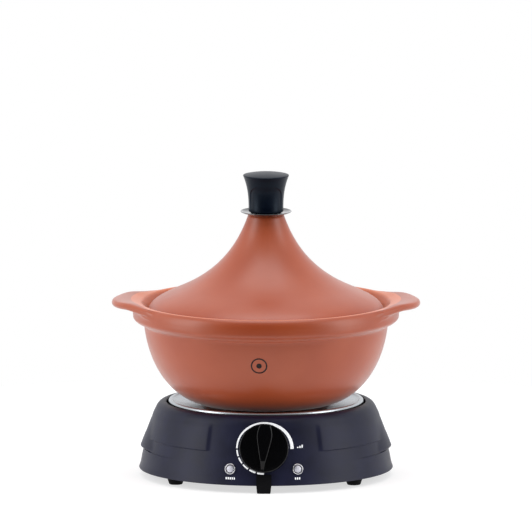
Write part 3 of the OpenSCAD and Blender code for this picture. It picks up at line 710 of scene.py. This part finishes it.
def housing_angles():
    """Even steps, with close ones where a panel's edge runs down the wall."""
    degrees = [1.25 * i for i in range(288)]
    close = (-1.5, -1.1, -0.75, -0.4, 0, 0.4, 0.75, 1.1, 1.5)
    for centre in (0, 180):
        for sign in (-1, 1):
            edge = centre + sign * PANEL_HALF_ANGLE
            degrees += [(edge + step) % 360 for step in close]
    degrees.sort()
    kept = [degrees[0]]
    for d in degrees[1:]:
        if d - kept[-1] > 0.1:
            kept.append(d)
    return [math.radians(d) for d in kept]


def skirt_flare(h):
    return 0.6 * smooth(1 - h / 6)


def cut(piece, cutters):
    """Takes each cutter's volume out of the piece, and deletes the cutters."""
    for i, cutter in enumerate(cutters):
        modifier = piece.modifiers.new(f"cut_{i}", "BOOLEAN")
        modifier.operation = "DIFFERENCE"
        modifier.solver = "EXACT"
        modifier.object = cutter
        bpy.context.view_layer.objects.active = piece
        bpy.ops.object.modifier_apply(modifier=modifier.name)
        bpy.data.objects.remove(cutter)


def drill(matrix, r, depth_in, depth_out):
    """A cylinder cutter along a matrix's Z."""
    bm = bmesh.new()
    bmesh.ops.create_cone(bm, cap_ends=True, segments=48, radius1=r * MM, radius2=r * MM,
                          depth=(depth_in + depth_out) * MM)
    bm.transform(matrix @ Matrix.Translation((0, 0, (depth_out - depth_in) / 2 * MM)))
    cutter = bpy.data.objects.new("drill", mesh_from(bm, "drill"))
    bpy.context.scene.collection.objects.link(cutter)
    return cutter


def make_housing():
    levels = housing_levels()
    top_r = wall_r(WALL_TOP)
    shoulder = bezier([
        (top_r, WALL_TOP), (top_r - 2, BASE_H - 3), (106, BASE_H), (OPENING_R + 1.5, BASE_H),
    ], 18)[1:]
    lip = arc((OPENING_R + 1.4, BASE_H - 1.4), 1.4, 90, 180, 6)[1:]
    under = [(OPENING_R, BASE_H - 3.2), (OPENING_R + 0.4, BASE_H - 3.6), (OPENING_R + 2.5, BASE_H - 2.9)]
    under += bezier([
        under[-1], (105, BASE_H - 2.8), (top_r - WALL - 2, BASE_H - 5), (top_r - WALL, WALL_TOP),
    ], 10)[1:]
    inner = under + [(wall_r(5) - WALL, 5), (BASE_R - WALL, 0.3), (BASE_R - WALL + 0.3, 0)]

    def outline(angle):
        wall = [(wall_r(h) + skirt_flare(h) + panel_swell(angle, h), h) for h in levels]
        wall[0] = (wall[0][0] - 0.5, 0)
        crest = [(r + panel_swell(angle, z) * 0.9, z) for r, z in shoulder]
        return wall + crest + lip + inner

    sharp = 24
    housing = revolve("housing_shell", "base", ["housing_plastic"], outline, FOOT_GAP,
                      housing_angles(), sharp=sharp)
    cutters = [drill(on_wall(0, DIAL_H), 5.4, 8, 6)]
    cutters += [drill(on_wall(az, LAMP_H), 4.6, 8, 6) for az in (-LAMP_AZ, LAMP_AZ)]
    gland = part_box("cord_gland")
    gland_z = (gland[0].z + gland[1].z) / 2
    back = Matrix.Translation((0, 0.122, gland_z)) @ Matrix.Rotation(-math.pi / 2, 4, "X")
    cutters.append(drill(back, 6.6, 12, 12))
    cut(housing, cutters)
    housing.data.shade_smooth()
    housing.data.set_sharp_from_angle(angle=math.radians(sharp))
    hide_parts("base_housing")


def make_plate():
    """The pressed plate: a beaded edge, a dished well, the ring that carries the bowl, and a disc."""
    bead = 2.4
    plate_r = 97.5
    ring_h = 65.0
    well_h = ring_h - 2.9
    disc_h = ring_h - 2.7
    top = arc((plate_r - bead, BEAD_H - bead), bead, -10, 135, 14)
    top += bezier([top[-1], (92.6, 67.6), (91.5, 67.2), (90, 66.8)], 6)[1:]
    top += bezier([(90, 66.8), (84, 65.2), (78, 64.3), (72, well_h + 1.3)], 10)[1:]
    top += bezier([(72, well_h + 1.3), (64.5, well_h), (61.8, well_h + 0.2), (61.0, ring_h - 0.7)], 12)[1:]
    top += bezier([(61.0, ring_h - 0.7), (60.6, ring_h), (59.6, ring_h), (58, ring_h)], 6)[1:]
    top += bezier([(55.6, ring_h), (53.6, ring_h), (53.4, ring_h - 0.5), (53.0, disc_h + 0.5)], 6)
    top += bezier([(53.0, disc_h + 0.5), (52.6, disc_h + 0.1), (51.6, disc_h), (50, disc_h)], 6)[1:]
    top += [(44, disc_h - 0.05), (20, disc_h - 0.1), (0, disc_h - 0.1)]
    under = [(0, disc_h - 2), (50.5, disc_h - 2)]
    under += bezier([(51, disc_h - 2), (54.5, disc_h - 2), (54, 63), (56, 63)], 6)
    under += bezier([(57.5, 63), (60, 63), (60.5, well_h - 2), (68, well_h - 1.2)], 8)
    under += [(90, 65.5), (plate_r - 2, 65.6), (plate_r - 2, 59.2), (plate_r - 1.6, 58.8)]
    under += [(plate_r - 0.4, 58.8), (plate_r, 59.2)]
    outline = tidy([(plate_r, 65)] + top + under)
    plate = revolve("pressed_plate", "base", ["plate_aluminium"], outline, FOOT_GAP, even_angles(256))
    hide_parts("hot_plate")


# ---------------------------------------------------------------- control knob

DIAL_R = 24.75
BLADE_LEAN = 3.6
BLADE_TOP = 10.8
DIAL_FACE = 6.4


def blade_half_width(y):
    """Half the blade's width at y along it, widest above the middle and narrow at the pointer."""
    points = [
        (-DIAL_R, 1.7), (-15, 2.9), (-10, 4.1), (-2.5, 5.7), (4.5, 7.1),
        (9, 8.0), (13, 8.3), (17, 7.7), (21, 6.4), (DIAL_R, 4.8),
    ]
    return along(points, y)


def smooth_half_width(y):
    """blade_half_width averaged over the points around y, which rounds its corners off."""
    around = [min(max(y + d, -DIAL_R), DIAL_R) for d in (-3, -1.5, 0, 1.5, 3)]
    return sum(blade_half_width(place) for place in around) / len(around)


def blade_top(y):
    """The ridge's height: level, then sloping down to the pointer's tip."""
    return mix(BLADE_TOP, DIAL_FACE + 0.7, smooth((-12.5 - y) / 10))


def make_blade(place):
    """The grip as sections along its length: upright sides, rounded shoulders and a flat crown."""
    reach = DIAL_R - 1.9
    foot = DIAL_FACE - 0.6
    stations = [mix(-reach, reach, i / 60) for i in range(61)]
    bm = bmesh.new()
    rows = []
    for y in stations:
        w, top = smooth_half_width(y), blade_top(y)
        left, right = min(1.3, w * 0.4), min(2.3, w * 0.6)
        section = [(-w - 0.5, foot), (-w, DIAL_FACE + 0.5)]
        section += bezier([
            (-w + 0.1, top - 1.6), (-w + 0.3, top - 0.5), (-w + left * 0.5, top), (-w + left, top),
        ], 6)
        section += bezier([
            (w - right, top), (w - right * 0.4, top), (w - 0.3, top - 0.7), (w - 0.1, top - 2.2),
        ], 6)
        section += [(w, DIAL_FACE + 0.5), (w + 0.5, foot)]
        rows.append([bm.verts.new((x * MM, y * MM, max(z, foot) * MM)) for x, z in section])
    for a, b in zip(rows, rows[1:]):
        for k in range(len(a)):
            n = (k + 1) % len(a)
            bm.faces.new((a[k], b[k], b[n], a[n]))
    bm.faces.new(rows[0])
    bm.faces.new(list(reversed(rows[-1])))
    bmesh.ops.recalc_face_normals(bm, faces=bm.faces)
    bm.transform(place @ Matrix.Rotation(math.radians(-BLADE_LEAN), 4, "Z"))
    return finish_mesh("dial_blade", mesh_from(bm, "dial_blade"), "control", ["dial_plastic"], 50)


def make_control_knob():
    place = on_wall(0, DIAL_H)
    outline = (
        [(5.6, 0.9), (5.6, 4.2), (22.2, 4.2), (22.3, 0.9), (22.6, 0.6), (24.3, 0.6)]
        + arc((DIAL_R - 0.4, 1.0), 0.4, -90, 0, 3)
        + arc((DIAL_R - 1.3, 5.8), 1.2, 5, 100, 10)
        + [(DIAL_R - 1.9, 6.95), (DIAL_R - 2.3, 6.5), (DIAL_R - 2.9, 6.4)]
        + [(DIAL_R - 5, DIAL_FACE - 0.05), (0, DIAL_FACE - 0.3)]
        + [(0, 1.2), (3, 1.1), (3, 0.6), (5.2, 0.6)]
    )
    disc = revolve("dial_disc", "control", ["dial_plastic"], tidy(outline), 0, even_angles(160), place)
    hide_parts("control_knob")
    make_blade(place)


def make_lamps():
    """The two pilot lamps: a bright ring round a domed lens, with the ring's inner wall dark as painted
    shade.
    """
    bezel = [(3.6, -0.3), (3.6, -9), (4.5, -9), (4.5, 0.15), (5.35, 0.15)]
    bezel += arc((4.98, 1.0), 0.47, -20, 170, 12) + [(4.5, 0.5), (4.45, -0.3)]
    lens = [(0, -2), (3.45, -2), (3.5, -0.2), (3.6, 0.4)]
    lens += bezier([(3.65, 0.5), (3.65, 2.2), (2.3, 3.5), (0, 3.5)], 14)
    for name, az in (("power_lamp", -LAMP_AZ), ("heat_lamp", LAMP_AZ)):
        place = on_wall(az, LAMP_H)
        # The ring's inner wall and underside take the dark plastic: painted shade in the gap round the
        # lens.
        ring = revolve(name + "_ring", "base", ["bezel_chrome", "dial_plastic"], bezel, 0,
                       even_angles(64), place, paint=lambda i: int(i >= len(bezel) - 2), sharp=40)
        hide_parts(name + "_bezel")
        dome = revolve(name + "_dome", "base", ["lamp_lens"], lens, 0, even_angles(64), place, sharp=40)
        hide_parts(name + "_lens")


# ---------------------------------------------------------------- printing

INK = 0.05
INK_LIFT = 0.08


def lay_print(name, body, slot, shapes, lay):
    """Thin printed marks: strips of rows of (x, y) in mm, which lay(x, y) places in metres."""
    bm = bmesh.new()
    for strip in shapes:
        rows = [[bm.verts.new(lay(*p)) for p in row] for row in strip]
        for a, b in zip(rows, rows[1:]):
            for k in range(len(a) - 1):
                bm.faces.new((a[k], b[k], b[k + 1], a[k + 1]))
    bmesh.ops.solidify(bm, geom=bm.faces[:], thickness=INK * MM)
    bmesh.ops.recalc_face_normals(bm, faces=bm.faces)
    return finish_mesh(name, mesh_from(bm, name), body, [slot], 40)


def lay_on_wall(x, y):
    """From the dial's centre, +Y up the housing's wall."""
    h = DIAL_H + y * math.cos(TILT)
    r = wall_r(h) + INK_LIFT
    return Vector((r * math.sin(x / r) * MM, -r * math.cos(x / r) * MM, (FOOT_GAP + h) * MM))


def curved_bar(start, end, reach, squash, width_at, steps):
    """A bar along an ellipse, in degrees clockwise from 12. Its inner edge is at reach."""
    rows = []
    for i in range(steps + 1):
        a = math.radians(start + (end - start) * i / steps)
        out = [k * width_at(i / steps) / 2 for k in range(3)]
        rows.append([((reach + d) * math.sin(a), (reach * squash + d) * math.cos(a)) for d in out])
    return rows


def bar(x, y, w, h):
    """An upright bar centred on (x, y)."""
    columns = [x - w / 2 + w * i / 4 for i in range(5)]
    return [[(c, y - h / 2), (c, y + h / 2)] for c in columns]


def make_printing():
    reach, squash = 26.6, 0.925
    shapes = [curved_bar(-90, 91, reach, squash, lambda t: mix(1.5, 3.4, t ** 1.3), 60)]
    dashes = 5
    step = 90 / dashes
    for i in range(dashes):
        start = -180 + i * step
        shapes.append(curved_bar(start, start + step - 3.6, reach, squash, lambda t: 1.4, 8))
    lay_print("dial_scale", "base", "white_print", shapes, lay_on_wall)
    level = [bar(34.2 + 2.3 * i, 0.8 + 0.45 * i, 1.3, 1.2 + 0.9 * i) for i in range(3)]
    lay_print("high_mark", "base", "white_print", level, lay_on_wall)
    low = [bar(-1.7 + 2.3 * i, -29.4, 1.3, 1.2) for i in range(3)]
    lay_print("low_mark", "base", "white_print", low, lay_on_wall)
    lamp_x = wall_r(LAMP_H) * math.radians(LAMP_AZ)
    lamp_y = (LAMP_H - DIAL_H) / math.cos(TILT)
    for name, side, count in (("power_lamp_mark", -1, 5), ("heat_lamp_mark", 1, 3)):
        offsets = [(i - (count - 1) / 2) * 2.1 for i in range(count)]
        marks = [bar(side * lamp_x + d, lamp_y - 9.3, 1.2, 2.2) for d in offsets]
        lay_print(name, "base", "white_print", marks, lay_on_wall)


def make_bowl_mark():
    """A plain ring and dot where the real pot's printed sign is."""
    skin = [(z, r) for r, z in bowl_wall()]
    azimuth, height = math.radians(-2.4), 55.0

    def lay(x, y):
        z = height + y * 0.985
        r = along(skin, z) + INK_LIFT
        a = azimuth + x / r
        return Vector((r * math.sin(a) * MM, -r * math.cos(a) * MM, (BOWL_Z + z) * MM))

    ring = curved_bar(0, 360, 6.9, 1.0, lambda t: 1.4, 48)
    dot = curved_bar(0, 360, 0.3, 1.0, lambda t: 2.4, 24)
    lay_print("bowl_mark", "bowl", "dark_print", [ring, dot], lay)


# ---------------------------------------------------------------- build

make_camera()
make_world()
make_stage()
materials = make_materials()
dress_cad_nodes()
make_lid()
make_lid_knob()
make_collar()
make_bowl()
make_housing()
make_plate()
make_control_knob()
make_lamps()
make_printing()
make_bowl_mark()
